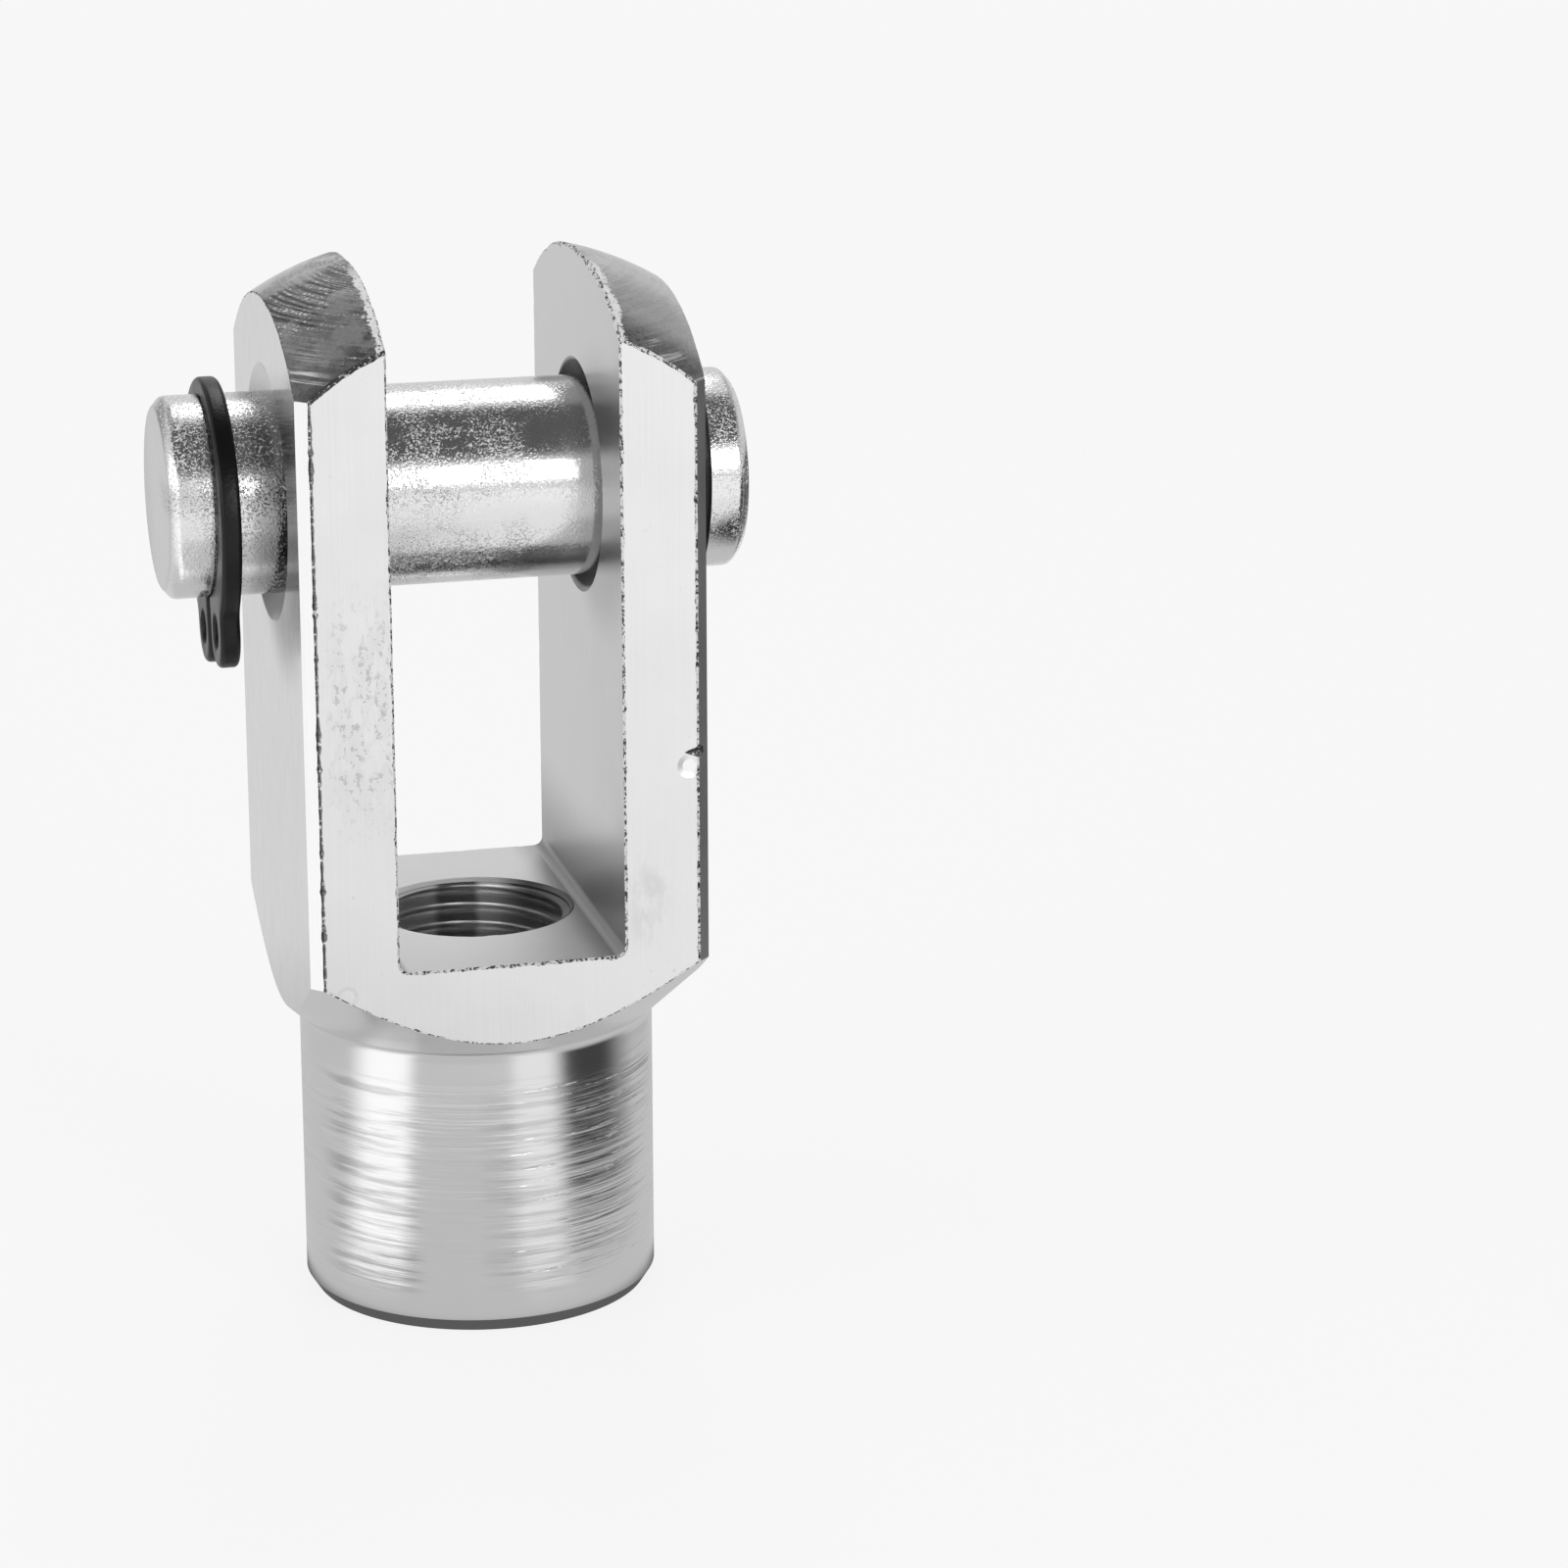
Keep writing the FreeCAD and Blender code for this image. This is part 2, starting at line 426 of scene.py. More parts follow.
def zinc_face(start):
    """Drawn faces of the bar: fine upright lines, pits, a stained patch and a ring mark.
    Painted shadow and reflection of the pin round the left bore; painted shade on the right
    front corner."""
    spot = object_place(start)
    x, y, z = spot.parts()
    lines = spot.stretch(7, 7, 0.10).grain(1.0, 3, 0.65)
    cloud = spot.grain(0.22, 3, 0.55)
    smear = spot.stretch(1.1, 1.1, 0.5).grain(1.0, 3, 0.6)
    speck = spot.stretch(3.0, 3.0, 2.0).grain(1.0, 3, 0.7)
    front = 1 - y.step(-9.5, -9.0)
    left_leg = z.around(33.0, 2.0, 7.5) * x.around(-7.2, 1.0, 2.2)
    patch = front * left_leg * smear.step(0.40, 0.52)
    pits = speck.step(0.64, 0.72) * cloud.step(0.48, 0.62) * 0.6
    stained = pits.most(speck.step(0.53, 0.60) * patch)
    right_leg = z.around(22.5, 1.0, 3.0) * x.around(6.9, 0.3, 1.5)
    rubbed = front * right_leg * smear.step(0.42, 0.62)
    mark = spot.distance((-8.29, -10.0, 18.66)).around(0.45, 0.04, 0.16)
    outer = x.size().step(9.985, 9.995)
    sunk = x.size().step(8.5, 8.6) * (1 - x.size().step(9.95, 9.98))
    sunk = sunk * (1 - y.size().step(6.0, 6.5))
    # Painted shadow and reflection of the pin on the left face and its countersink.
    shadow = 1 - spot.distance((-10.0, -4.2, 40.8)).step(4.4, 8.4)
    # Painted shade on the right front corner's chamfer.
    strip = (x - y).step(19.30, 19.36)
    # The side faces are made a little darker: painted shade.
    shade = 0.85 + 0.07 * (lines - 0.5) + 0.12 * (cloud - 0.5) - 0.05 * patch - 0.03 * outer
    shade = shade + 0.16 * outer * (smear - 0.5)
    shade = shade - 0.17 * stained - 0.10 * rubbed - 0.05 * mark
    shade = shade - shadow * (0.60 * outer).most(0.44 * sunk) - 0.20 * strip
    height = 0.45 * lines + 0.3 * smear - 0.7 * stained - 0.3 * mark
    roughness = 0.24 + 0.12 * cloud + 0.2 * stained - 0.13 * outer
    zinc_metal(start, shade.grey(), roughness, height, 0.012)


def zinc_turned(start):
    """Neck and shoulder: turning marks round the neck, fading out at both its ends, with
    darker dashes painted only on the two bands where the highlights fall, as painted
    reflection."""
    spot = object_place(start)
    x, y, z = spot.parts()
    worked = z.between(3.0, 12.2, 1.6) * (1 - 0.55 * x.between(-4.0, -1.2, 1.2))
    broad = spot.stretch(0.06, 0.06, 1.7).grain(1.0, 2, 0.5)
    fine = spot.stretch(0.10, 0.10, 7.0).grain(1.0, 3, 0.65)
    scratch = spot.stretch(0.26, 0.26, 3.6).grain(1.0, 3, 0.6).step(0.62, 0.72)
    chatter = (x - 3.6).size().step(0.5, 5.0)
    cloud = spot.grain(0.3, 3, 0.55)
    dashes = spot.stretch(0.14, 0.14, 2.5).grain(1.0, 4, 0.6)
    # Painted reflection: the dashes darken only the two bands where highlights fall.
    highlight_bands = x.between(-7.8, -5.0, 0.9).most(0.7 * x.between(-1.0, 2.4, 0.9))
    cuts = 1.7 * (broad - 0.5) + 0.5 * (fine - 0.5) - 0.4 * scratch * (1 - chatter)
    shade = 0.82 + 0.07 * (cloud - 0.5) + 0.10 * worked * (fine - 0.5)
    shade = shade - 0.25 * worked * scratch * (1 - 0.8 * chatter)
    shade = shade - 0.26 * worked * (highlight_bands * dashes.step(0.46, 0.62))
    height = worked * cuts + 0.12 * cloud
    zinc_metal(start, shade.grey(), 0.14 + 0.10 * cloud, height, 0.060)


def zinc_crown(start):
    """Crown: fine arcs left by the turning tool, torn to grit in patches with painted glints,
    and flaked bare along the slot and at the front corners; the slot's burr is painted
    white as a highlight, and the right ear's front is painted shade."""
    spot = object_place(start)
    x, y, z = spot.parts()
    radius = spot.stretch(1, 1, 0).length()
    bearing = y.maths("ARCTAN2", y, x)
    round_it = {0: radius * 6.0, 1: bearing * 1.6, 2: 0.0}
    arcs = start.node("ShaderNodeCombineXYZ", {}, round_it)
    lines = arcs.grain(1.0, 3, 0.6)
    cloud = spot.grain(0.55, 3, 0.6)
    grit = spot.grain(6.0, 2, 0.6)
    left = 1 - x.step(-1.0, 1.0)
    middle = 1 - (y + 3.2 + 6 * (cloud - 0.5)).size().step(1.4, 3.2)
    inner = 1 - (x.size() - slot_half).step(0.3, 2.6) * (1 - 0.5 * cloud.step(0.4, 0.6))
    torn = (middle * left).most(0.8 * inner * cloud.step(0.42, 0.54) * (0.3 + 0.7 * left))
    corner = (1 - x.step(-9.2, -8.0)) * (1 - y.step(-8.6, -6.6)) * lines.step(0.50, 0.58)
    nicks = 0.55 * (x.step(6.6, 7.6) * (1 - y.step(-9.2, -8.4)) * lines.step(0.56, 0.60))
    # Painted glints: white specks of little metal in the torn patches where facets would catch
    # light, and the real scratches at the left front corner.
    bright = (torn.step(0.2, 0.7) * grit.step(0.53, 0.59) * lines.step(0.46, 0.56)).most(corner)
    flake = (x.size() - slot_half - 0.9 * (cloud - 0.5) - 0.5 * (grit - 0.5)).step(0.34, 0.50)
    # A burr along the slot's edge, painted white as a highlight.
    burr = (1 - flake) * (1 - y.step(-4.0, 0.0))
    bare = (0.85 * bright).most(burr * grit.step(0.34, 0.40)).most(nicks)
    height = (0.12 - 0.08 * left + 0.55 * torn) * (0.8 * (lines - 0.5) + 0.8 * (grit - 0.5))
    # Torn patches are darker; the right ear's front is painted shade, and the back half and the
    # left ear are a little darker.
    torn_and_painted_shade = 0.34 * torn + 0.36 * (1 - left) * (1 - y.step(-9.4, -7.4))
    torn_and_painted_shade = torn_and_painted_shade + 0.06 * y.step(-5, 0) + 0.04 * left
    shade = 0.62 + (0.05 + 0.22 * torn) * (lines.step(0.40, 0.60) - 0.5)
    shade = (shade + 0.30 * (grit - 0.5) - torn_and_painted_shade).most(0.94 * bare)
    roughness = 0.20 + 0.10 * torn + 0.2 * bare
    zinc_metal(start, shade.grey(), roughness, height, 0.045, 1 - 0.9 * bare)


def zinc_slot(start):
    """Slot's walls and floor: milled smooth, with faint upright cutter lines. The right
    wall has painted shade at its foot and by the bore."""
    spot = object_place(start)
    x, y, z = spot.parts()
    lines = spot.stretch(4.0, 4.0, 0.2).grain(1.0, 3, 0.6)
    cloud = spot.grain(0.3, 3, 0.55)
    low = 1 - z.step(slot_floor + 0.3, slot_floor + 6.0)
    painted_shade_by_bore = 1 - spot.distance((slot_half, -5.0, pin_height)).step(4.6, 8.0)
    shade = 0.76 + 0.08 * (cloud - 0.5) + 0.05 * (lines - 0.5)
    # Painted shade at the right wall's foot and by the bore.
    shade = shade - 0.26 * low * x.step(3.6, 5.3) - 0.20 * painted_shade_by_bore
    height = 0.7 * lines + 0.3 * cloud
    zinc_metal(start, shade.grey(), 0.24 + 0.12 * cloud + 0.14 * low, height, 0.010)


def zinc_worn_edge(start):
    """Knocked edges: bright chips among dark specks."""
    spot = object_place(start)
    chips = spot.grain(5.0, 3, 0.7)
    bare = chips.step(0.55, 0.61)
    shade = 0.20 + 0.74 * bare
    zinc_metal(start, shade.grey(), 0.26 + 0.2 * chips, chips, 0.05, 1 - 0.7 * bare)


def zinc_burr_highlight(start):
    """Burr rolled over an edge by the cutter: bare, with dark specks, and painted white with
    little metal as a highlight.
    """
    spot = object_place(start)
    chips = spot.grain(5.0, 3, 0.7)
    shade = 0.95 - 0.88 * chips.step(0.50, 0.55)
    zinc_metal(start, shade.grey(), 0.40 + 0.1 * chips, chips, 0.06, 0.2)


def zinc_knock(start):
    """A knocked spot, nearly white: rubbed, and painted as a highlight for its glare."""
    spot = object_place(start)
    grain = spot.grain(3.0, 2, 0.6)
    shade = 0.98 + 0.02 * grain
    zinc_metal(start, shade.grey(), 0.30 + 0.05 * grain)


def zinc_thread(start):
    """Thread's flanks and the break at both its ends: thinly plated and smooth, with
    painted shade at the back and on the right and on the land under the break, and
    a lip painted white on the left as a highlight."""
    spot = object_place(start)
    x, y, z = spot.parts()
    rings = spot.stretch(0.4, 0.4, 5.0).grain(1.0, 3, 0.6)
    bottom = slot_floor - floor_sink_depth
    # Painted shade on the flat land under the break; the lip on the left is painted white as a
    # highlight.
    painted_dark_land = z.between(bottom - 0.01, bottom + 0.01, 0.01)
    lip_highlight = z.step(bottom + 0.02, bottom + 0.04) * (1 - x.step(0.5, 3.5))
    # Painted shade on the back wall's middle and on the right side, and on the right by the
    # top.
    painted_dark = (y.step(0.0, 2.0) * x.between(-0.8, 0.8, 0.5)).most(x.step(1.8, 3.6))
    corner = x.step(2.0, 3.6) * z.step(slot_floor - 0.9, slot_floor - 0.6)
    shade = 0.90 + 0.10 * (rings - 0.5) - 0.5 * painted_dark_land - 0.42 * painted_dark - 0.30 * corner
    shade = shade.most(0.96 * lip_highlight)
    zinc_metal(start, shade.grey(), 0.30 + 0.10 * rings, rings, 0.006, 1 - 0.8 * lip_highlight)


def zinc_bore(start):
    """Cross bore: painted shade, near black deep in it, and lighter with less metal at the
    rims of its inner chamfers by the slot.
    """
    spot = object_place(start)
    x, y, z = spot.parts()
    cloud = spot.grain(1.2, 3, 0.6)
    # Painted shade: dark deep in the bore, lighter with less metal at the chamfers' rims.
    light_plate = 1 - (x.size() + 0.05 * y).step(5.75, 5.92)
    shade = 0.03 + 0.69 * light_plate + 0.05 * (cloud - 0.5)
    zinc_metal(start, shade.grey(), 0.30 + 0.15 * cloud, cloud, 0.02, 1 - 0.8 * light_plate)


zinc = {}
for paint in (
    zinc_face, zinc_turned, zinc_crown, zinc_slot, zinc_worn_edge, zinc_burr_highlight,
    zinc_knock, zinc_thread, zinc_bore,
):
    zinc[paint.__name__] = bpy.data.materials.new(paint.__name__)
    paint(empty_tree(zinc[paint.__name__]))

neck_tangent = neck_fillet * math.tan(math.radians((90 - shoulder_angle) / 2))
fillet_height = neck_length - neck_tangent
fillet_centre = neck_radius + neck_fillet
shoulder_rise = (blank_radius - neck_radius) * shoulder_slope
profile = [(0, foot_radius), (foot_chamfer, neck_radius)]
profile += arc(fillet_height, fillet_centre, neck_fillet, 180, 90 + shoulder_angle, 8)
profile += [(neck_length + shoulder_rise, blank_radius)]
profile += arc(crown_height - crown_radius, crown_flat, crown_radius, 0, 90, 40)
fork = turn_up("fork_head", profile, 180)
finish_with(fork, zinc["zinc_turned"])
fork.data.materials.append(zinc["zinc_crown"])
for face in fork.data.polygons:
    face.material_index = 1 if face.center.z > crown_from else 0


def upright(a, b):
    """An edge that runs up the bar."""
    return abs(a.z - b.z) > 1


def low_long(a, b):
    """An edge along the foot of the slot's cutter."""
    return abs(a.y - b.y) > 1 and max(a.z, b.z) < slot_floor + 0.1


bar = block("bar", (-body_half, -body_half, bar_low), (body_half, body_half, bar_high))
bevel_edges(bar, upright, corner_cut, 1)
finish_with(bar, zinc["zinc_face"])
join_solids(fork, bar, "INTERSECT")

low_corner = (-slot_half, -slot_wide_open, slot_floor)
cutter = block("slot", low_corner, (slot_half, slot_wide_open, slot_past_crown))
bevel_edges(cutter, low_long, slot_corner, 5)
finish_with(cutter, zinc["zinc_slot"])
join_solids(fork, cutter, "DIFFERENCE")

half_bore = [
    (slot_half - cutter_past, bore_radius + bore_inner_chamfer),
    (slot_half, bore_radius + bore_inner_chamfer),
    (slot_half + bore_inner_chamfer, bore_radius),
    (body_half - bore_outer_chamfer, bore_radius),
    (body_half + cutter_past, bore_radius + bore_outer_chamfer + cutter_past),
]
mirrored = [(-height, radius) for height, radius in reversed(half_bore)]
bore = turn_up("bore", mirrored + half_bore, 128)
place(bore, turn=(0, 90, 0), move=(0, 0, pin_height))
finish_with(bore, zinc["zinc_bore"])
join_solids(fork, bore, "DIFFERENCE")
light_plate = fork.data.materials.find("zinc_face")
painted_dark = fork.data.materials.find("zinc_bore")
for face in fork.data.polygons:
    if face.material_index == painted_dark and abs(face.center.x) > body_half - bore_outer_chamfer:
        face.material_index = light_plate

floor_steps = [
    (slot_floor - floor_sink_depth, floor_sink - floor_sink_depth),
    (slot_floor + floor_sink_past, floor_sink + floor_sink_past),
]
mouth_steps = [
    (-cutter_past, mouth_sink + cutter_past),
    (mouth_sink_depth, mouth_sink - mouth_sink_depth),
]
for name, steps in (("floor_sink", floor_steps), ("mouth_sink", mouth_steps)):
    sink = turn_up(name, steps, 128)
    finish_with(sink, zinc["zinc_thread"])
    join_solids(fork, sink, "DIFFERENCE")


def thread_tap():
    """The thread's own form: one turn's outline, with a rounded crest and a narrow
    root, screwed up the hole and capped."""
    outline = arc(0.15, thread_minor + thread_crest, thread_crest, 208, 152, 4)
    outline += [(0.56, thread_major - 0.06), (0.61, thread_major), (0.67, thread_major)]
    outline += [(0.72, thread_major - 0.06), (outline[0][0] + thread_pitch, outline[0][1])]
    bpy.ops.mesh.primitive_circle_add(vertices=len(outline), radius=1, fill_type="NOTHING")
    tap = bpy.context.object
    tap.name = "tap"
    for point, (height, radius) in zip(tap.data.vertices, outline):
        point.co = (radius, 0, height + thread_start)
    only(tap)
    bpy.ops.object.mode_set(mode="EDIT")
    bpy.ops.mesh.select_mode(type="EDGE")
    bpy.ops.mesh.select_all(action="DESELECT")
    bpy.ops.object.mode_set(mode="OBJECT")
    for edge in tap.data.edges:
        edge.select = set(edge.vertices) == {0, len(outline) - 1}
    bpy.ops.object.mode_set(mode="EDIT")
    bpy.ops.mesh.delete(type="EDGE")
    bpy.ops.object.mode_set(mode="OBJECT")
    screw = tap.modifiers.new("screw", "SCREW")
    screw.screw_offset = thread_pitch
    screw.iterations = thread_turns
    screw.steps = thread_sides
    screw.render_steps = thread_sides
    screw.use_merge_vertices = False
    bpy.ops.object.modifier_apply(modifier="screw")
    bpy.ops.object.mode_set(mode="EDIT")
    bpy.ops.mesh.select_all(action="SELECT")
    bpy.ops.mesh.remove_doubles(threshold=0.001)
    bpy.ops.mesh.select_all(action="SELECT")
    low = {"plane_co": (0, 0, thread_low), "plane_no": (0, 0, 1)}
    bpy.ops.mesh.bisect(**low, use_fill=True, clear_inner=True)
    bpy.ops.mesh.select_all(action="SELECT")
    high = {"plane_co": (0, 0, thread_high), "plane_no": (0, 0, 1)}
    bpy.ops.mesh.bisect(**high, use_fill=True, clear_outer=True)
    bpy.ops.mesh.select_all(action="SELECT")
    bpy.ops.mesh.normals_make_consistent(inside=False)
    bpy.ops.object.mode_set(mode="OBJECT")
    return tap


def crown_at(x, y):
    """Height of the crown over a point."""
    across = math.hypot(x, y) - crown_flat
    return crown_height - crown_radius + math.sqrt(crown_radius ** 2 - max(across, 0) ** 2)


def shoulder_at(x, y):
    """Height of the shoulder's cone under a point."""
    return neck_length + (math.hypot(x, y) - neck_radius) * shoulder_slope


def worn_edge(route, least, most, seed, finish="zinc_worn_edge"):
    """A ragged chamfer: a rod that is cut away along an edge, thin with thicker knocks."""
    chance = random.Random(seed)
    line = bpy.data.curves.new("wear", "CURVE")
    line.dimensions = "3D"
    line.bevel_depth = 1.0
    line.bevel_resolution = 0
    line.use_fill_caps = True
    spline = line.splines.new("POLY")
    spline.points.add(len(route) - 1)
    knock = 0
    for point, corner in zip(spline.points, route):
        knock *= chance.uniform(0.2, 0.8)
        if chance.random() < 0.10:
            knock = chance.uniform(0.3, 0.8)
        share = min(0.35 * chance.random() + knock, 1)
        point.co = (*corner, 1)
        point.radius = least + (most - least) * share
    rod = bpy.data.objects.new("wear", line)
    bpy.context.scene.collection.objects.link(rod)
    only(rod)
    bpy.ops.object.convert(target="MESH")
    rod = bpy.context.object
    bpy.ops.object.mode_set(mode="EDIT")
    bpy.ops.mesh.select_all(action="SELECT")
    bpy.ops.mesh.remove_doubles(threshold=0.0005)
    bpy.ops.mesh.normals_make_consistent(inside=False)
    bpy.ops.object.mode_set(mode="OBJECT")
    finish_with(rod, zinc[finish])
    join_solids(fork, rod, "DIFFERENCE")


def along(start, end, height=None):
    """Points from start to end, about a pace apart, on a surface if height gives it."""
    start, end = Vector(start), Vector(end)
    count = max(2, round((end - start).length / wear_pace))
    points = [start.lerp(end, number / count) for number in range(count + 1)]
    if height is None:
        return points
    return [Vector((p.x, p.y, height(p.x, p.y))) for p in points]


# Edges are worn in turn: the slot's rim, the shoulder, the crown's front and back, the
# corners, then the crown's inner and outer brows and the rim of the hole. The front's
# left half is worn deeper than its right one.
flat_half = body_half - corner_cut
rim_half = slot_half - slot_corner
rim_foot = slot_floor + slot_corner
rim_top = crown_at(slot_half, body_half) + rim_past
strip_top = crown_at(flat_half, body_half) + strip_past
strip_foot = shoulder_at(flat_half, body_half) - strip_past
# Burred edges are painted white as highlights.
sides = ((-1, "zinc_worn_edge", 0.28, 0.22), (1, "zinc_burr_highlight", 0.20, 0.16))
for face_side in (-1, 1):
    y = face_side * body_half
    left_rim = along((-slot_half, y, rim_top), (-slot_half, y, rim_foot))
    for angle in (22.5, 45, 67.5):
        out = slot_corner * math.cos(math.radians(angle))
        down = slot_corner * math.sin(math.radians(angle))
        left_rim.append(Vector((-rim_half - out, y, rim_foot - down)))
    over = along((-rim_half, y, slot_floor), (rim_half, y, slot_floor))
    right_rim = [Vector((-p.x, p.y, p.z)) for p in reversed(left_rim)]
    rim = left_rim + over + right_rim
    worn_edge(rim, least=0.09, most=0.20, seed=3 + face_side, finish="zinc_burr_highlight")
    shoulder = along((-flat_half, y, 0), (flat_half, y, 0), shoulder_at)
    worn_edge(shoulder, least=0.02, most=0.12, seed=7 + face_side, finish="zinc_burr_highlight")
    for side, finish, crown_wear, strip_wear in sides:
        place_seed = face_side + 3 * side
        inner, outer = side * slot_half, side * flat_half
        brow = along((inner, y, 0), (outer, y, 0), crown_at)
        worn_edge(brow, 0.5 * crown_wear, crown_wear, seed=11 + place_seed, finish=finish)
        strip = along((outer, y, strip_foot), (outer, y, strip_top))
        worn_edge(strip, least=0.07, most=strip_wear, seed=21 + place_seed, finish=finish)
for side in (-1, 1):
    inner, outer = side * slot_half, side * body_half
    brow = along((inner, -body_half, 0), (inner, body_half, 0), crown_at)
    worn_edge(brow, least=0.12, most=0.32, seed=31 + side, finish="zinc_burr_highlight")
    brow = along((outer, -flat_half, 0), (outer, flat_half, 0), crown_at)
    worn_edge(brow, least=0.02, most=0.12, seed=41 + side)
hole_rim = []
for angle in range(-88, 268, 3):
    across = floor_sink * math.cos(math.radians(angle))
    back = floor_sink * math.sin(math.radians(angle))
    hole_rim.append(Vector((across, back, slot_floor)))
worn_edge(hole_rim, least=0.05, most=0.10, seed=51, finish="zinc_thread")

# The thread, then a notch and a rubbed spot, painted nearly white as a highlight, on the right
# edge of the front.
tap = thread_tap()
finish_with(tap, zinc["zinc_thread"])
join_solids(fork, tap, "DIFFERENCE")
gouge = turn_up("gouge", [(0, 0.03), (1.0, 0.46)], 5)
place(gouge, turn=(0, 90, 0), move=(8.72, -10.02, 29.90))
finish_with(gouge, zinc["zinc_worn_edge"])
join_solids(fork, gouge, "DIFFERENCE")
knock = turn_up("knock", [(-0.09, 0.34), (-0.02, 0.62), (0.15, 0.80)], 24)
place(knock, turn=(90, 0, 0), move=(8.95, -10.02, 29.20))
finish_with(knock, zinc["zinc_knock"])
join_solids(fork, knock, "DIFFERENCE")
to_metres(fork)
bpy.ops.object.shade_smooth_by_angle(angle=math.radians(24))
square_on = 0.99995
for face in fork.data.polygons:
    if max(abs(part) for part in face.normal) > square_on:
        face.use_smooth = False

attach(fork, "fork")
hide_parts("fork")


# Clevis pin: 10 mm drawn bar, zinc plated, its ends chamfered and a groove cut
# near each end for a retaining ring. It lies loose in the fork's cross bore.
pin_radius = 5.0
pin_left = -15.45
pin_right = 13.45
left_groove = -13.25
right_groove = 10.15
groove_width = 1.1
groove_radius = 4.8
groove_lip = 0.04
lip_width = 0.05
# How far in from the end, and the radius there: a flat face, then a chamfer with
# softened corners.
end_steps = [(0, 4.30), (0.02, 4.42), (0.08, 4.53), (0.38, 4.88), (0.50, 4.965)]
end_steps += [(0.68, pin_radius)]


def pin_end(at, inwards):
    """Stations and radii of an end; inwards is 1 or -1."""
    return [(at + depth * inwards, radius) for depth, radius in end_steps]


def groove(at):
    """Stations and radii of a ring groove: upright walls under slightly broken lips."""
    return [
        (at - lip_width, pin_radius),
        (at, pin_radius - groove_lip),
        (at + 0.001, groove_radius),
        (at + groove_width, groove_radius),
        (at + groove_width + 0.001, pin_radius - groove_lip),
        (at + groove_width + lip_width, pin_radius),
    ]


profile = pin_end(pin_left, 1) + groove(left_groove) + groove(right_groove)
profile += reversed(pin_end(pin_right, -1))
pin = turn_up("pin", profile, 160)
place(pin, turn=(0, 90, 0), move=(0, 0, pin_height))
to_metres(pin)
bpy.ops.object.shade_smooth_by_angle(angle=math.radians(30))
pin_plate = bpy.data.materials.new("pin_zinc_plate")


def pin_plating(start):
    """Plate over drawn bar: fine pimples that break up highlights, painted glints, small
    pits, a band of painted dark flecks, and painted shade by the left face of the fork."""
    spot = object_place(start)
    x, y, z = spot.parts()
    faces = (1 - x.step(-15.38, -15.30)) + x.step(13.30, 13.38)
    peel = spot.grain(8.5, 2, 0.7)
    cloud = spot.grain(0.45, 3, 0.55)
    left_top = (1 - x.step(-11, -9)) * z.step(40.5, 42.5)
    rough_part = 0.35 + 0.65 * cloud.step(0.40, 0.56).most(left_top)
    rough_part = rough_part * (1 - 0.6 * x.between(3.0, 9.0, 2.0))
    pits = spot.grain(2.2, 3, 0.65).step(0.63, 0.68) * cloud.step(0.50, 0.62)
    pimples = peel.step(0.50, 0.74) + 0.6 * (peel - 0.5)
    # Painted glints: white specks of little metal where facets would catch the light.
    glints = spot.grain(6.5, 3, 0.6).step(0.58, 0.62) * rough_part.step(0.4, 0.7) * (1 - faces)
    # Painted shade: dark flecks in a band on the pin's front, along a reflected band's lower
    # edge.
    shade_flecks = z.around(42.6, 0.3, 1.0) * (1 - y.step(-3, -1)) * peel.step(0.50, 0.58)
    # Painted shade on the pin next to the fork's left face.
    painted_shade_by_fork = x.between(-10.9, -9.6, 0.9)
    height = pimples * rough_part * (1 - 0.9 * faces) - 0.4 * pits
    shade = 0.82 - 0.30 * pits + 0.10 * (peel - 0.5) - 0.08 * faces
    shade = (shade - 0.34 * shade_flecks * rough_part - 0.34 * painted_shade_by_fork).most(0.95 * glints)
    roughness = 0.10 + 0.05 * cloud + 0.15 * faces
    zinc_metal(start, shade.grey(), roughness, height, 0.014, 1 - 0.9 * glints)


pin_plating(empty_tree(pin_plate))
finish_with(pin, pin_plate)
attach(pin, "pin")
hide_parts("clevis_pin")


# Retaining rings: spring steel stamped 1 mm thick, blackened, with tumbled edges
# and two eyed lugs for circlip pliers. Each sits in a groove of the pin.
# One half of the outline is drawn and mirrored; both faces are then rounded inwards.
ring_thickness = 1.0
ring_inner = 4.83
ring_outer = 6.43
ring_offset = 0.6
ring_gap = 1.0
lug_reach = 6.9
lug_across = 2.1
lug_drop = math.sqrt(lug_reach ** 2 - lug_across ** 2)
lug_radius = 1.8
lug_eye = 0.8
lug_blend = 1.2
ring_edge = 0.25
gap_corner = 0.3


def ring_outline():
    """Heights and distances across of the right half, from the top round and back."""
    reach = ring_outer + lug_blend
    side = lug_across + lug_radius + lug_blend
    blend_height = -ring_offset - math.sqrt(reach ** 2 - side ** 2)
    meet = math.degrees(math.atan2(blend_height + ring_offset, side))
    turn_in = math.degrees(math.acos((ring_gap / 2 - lug_across) / lug_radius))
    corner = ring_gap / 2 + gap_corner
    corner_height = -math.sqrt((ring_inner + gap_corner) ** 2 - corner ** 2)
    gap_angle = math.degrees(math.atan2(corner_height, corner))
    half = arc(-ring_offset, 0, ring_outer, 90, meet, 56)
    half += arc(blend_height, side, lug_blend, meet + 180, 180, 6)[1:]
    half += arc(-lug_drop, lug_across, lug_radius, 0, -turn_in, 24)
    half += arc(corner_height, corner, gap_corner, 180, gap_angle + 180, 3)
    return half + arc(0, 0, ring_inner, gap_angle, 90, 60)[1:]


def round_face():
    """Draw the selected face inwards and up along a quarter circle."""
    steps = 5
    for number in range(steps):
        start = math.radians(90 * number / steps)
        end = math.radians(90 * (number + 1) / steps)
        bpy.ops.mesh.inset(
            thickness=ring_edge * (math.cos(start) - math.cos(end)),
            depth=ring_edge * (math.sin(end) - math.sin(start)),
        )


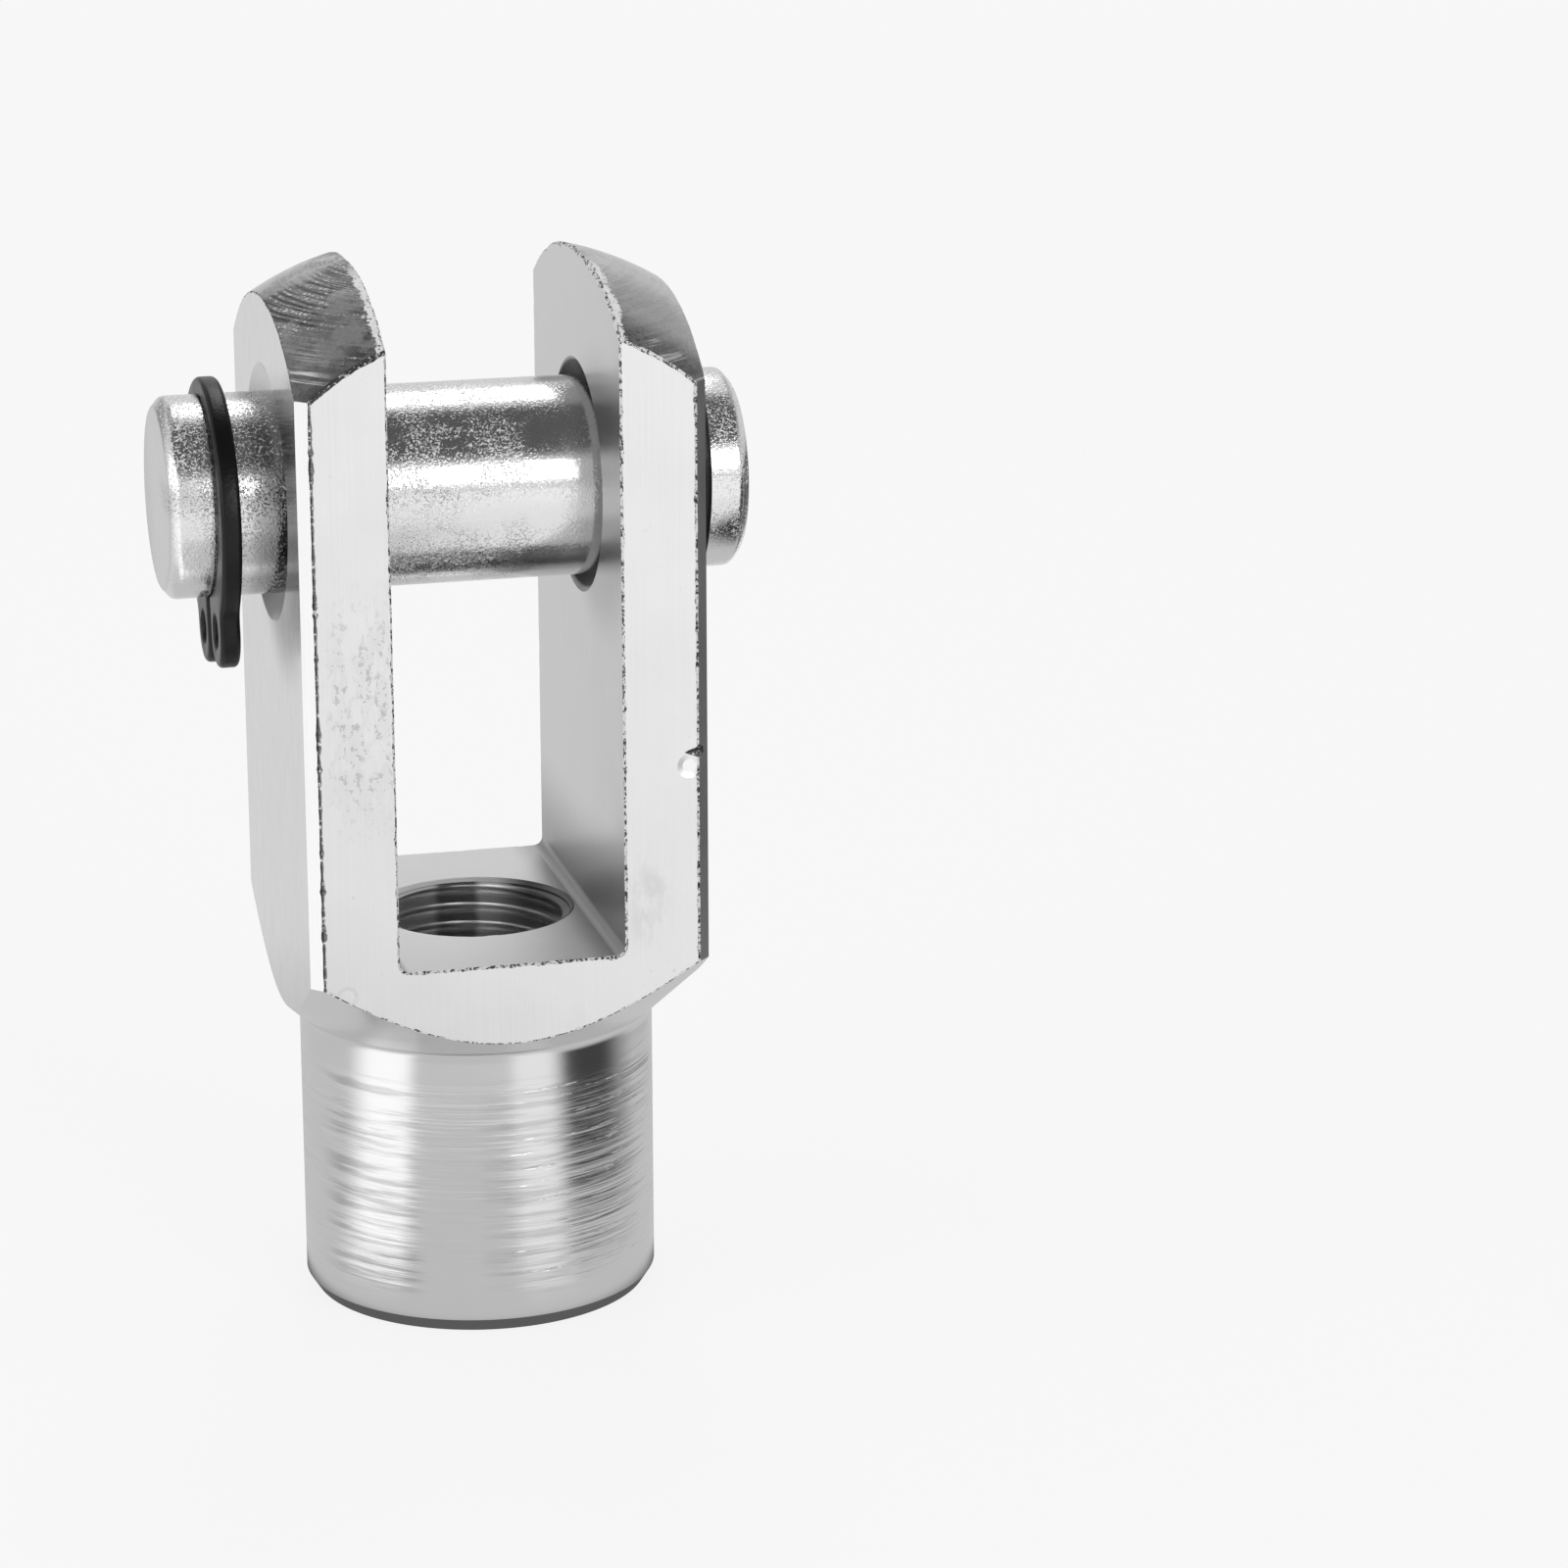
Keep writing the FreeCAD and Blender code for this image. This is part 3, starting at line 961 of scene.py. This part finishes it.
def retaining_ring(name, lug_angle, groove_at, finish):
    """Draw a ring with its lugs down, then turn it on the pin and set it in its groove."""
    half = ring_outline()
    outline = half + [(height, -across) for height, across in reversed(half[1:-1])]
    bpy.ops.mesh.primitive_circle_add(vertices=len(outline), radius=1, fill_type="NGON")
    ring = bpy.context.object
    ring.name = name
    flank = ring_thickness / 2 - ring_edge
    for point, (height, across) in zip(ring.data.vertices, outline):
        point.co = (-flank, across, height)
    only(ring)
    bpy.ops.object.mode_set(mode="EDIT")
    bpy.ops.mesh.select_mode(type="FACE")
    bpy.ops.mesh.select_all(action="SELECT")
    bpy.ops.mesh.extrude_region_move(TRANSFORM_OT_translate={"value": (2 * flank, 0, 0)})
    bpy.ops.mesh.select_all(action="SELECT")
    bpy.ops.mesh.normals_make_consistent(inside=False)
    for side in (-1, 1):
        bpy.ops.mesh.select_all(action="DESELECT")
        bpy.ops.object.mode_set(mode="OBJECT")
        for face in ring.data.polygons:
            face.select = face.normal.x * side > 0.9
        bpy.ops.object.mode_set(mode="EDIT")
        round_face()
    bpy.ops.object.mode_set(mode="OBJECT")
    spindle = [(-0.6, 1.05), (-0.5, 0.95), (-0.42, 0.84), (-0.3, lug_eye)]
    spindle += [(-height, radius) for height, radius in reversed(spindle)]
    for side in (-1, 1):
        eye = turn_up("eye", spindle, 48)
        place(eye, turn=(0, 90, 0), move=(0, side * lug_across, -lug_drop))
        join_solids(ring, eye, "DIFFERENCE")
    middle = groove_at + groove_width / 2
    place(ring, turn=(lug_angle, 0, 0), move=(middle, 0, pin_height))
    to_metres(ring)
    bpy.ops.object.shade_smooth_by_angle(angle=math.radians(40))
    finish_with(ring, finish)
    return ring


def ring_blacking(start):
    """Satin black phosphate: an even matt sheen with a faint grain."""
    spot = object_place(start)
    cloud = spot.grain(0.6, 2, 0.5)
    shade = 0.004 + 0.004 * cloud
    sockets = {
        "Base Color": shade.grey(),
        "Roughness": 0.22 + 0.16 * cloud,
        "Specular IOR Level": 0.28,
        "Normal": bumps(start, spot.grain(5.0, 3, 0.6), 0.02),
    }
    black = start.node("ShaderNodeBsdfPrincipled", {}, sockets)
    start.node("ShaderNodeOutputMaterial", {}, {"Surface": black})


blacking = bpy.data.materials.new("ring_blacking")
ring_blacking(empty_tree(blacking))
for name, lug_angle, groove_at, node in (
    ("left_ring", -10.0, left_groove, "left_retaining_ring"),
    ("right_ring", 138.0, right_groove, "right_retaining_ring"),
):
    ring = retaining_ring(name, lug_angle, groove_at, blacking)
    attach(ring, "retaining_rings")
    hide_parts(node)
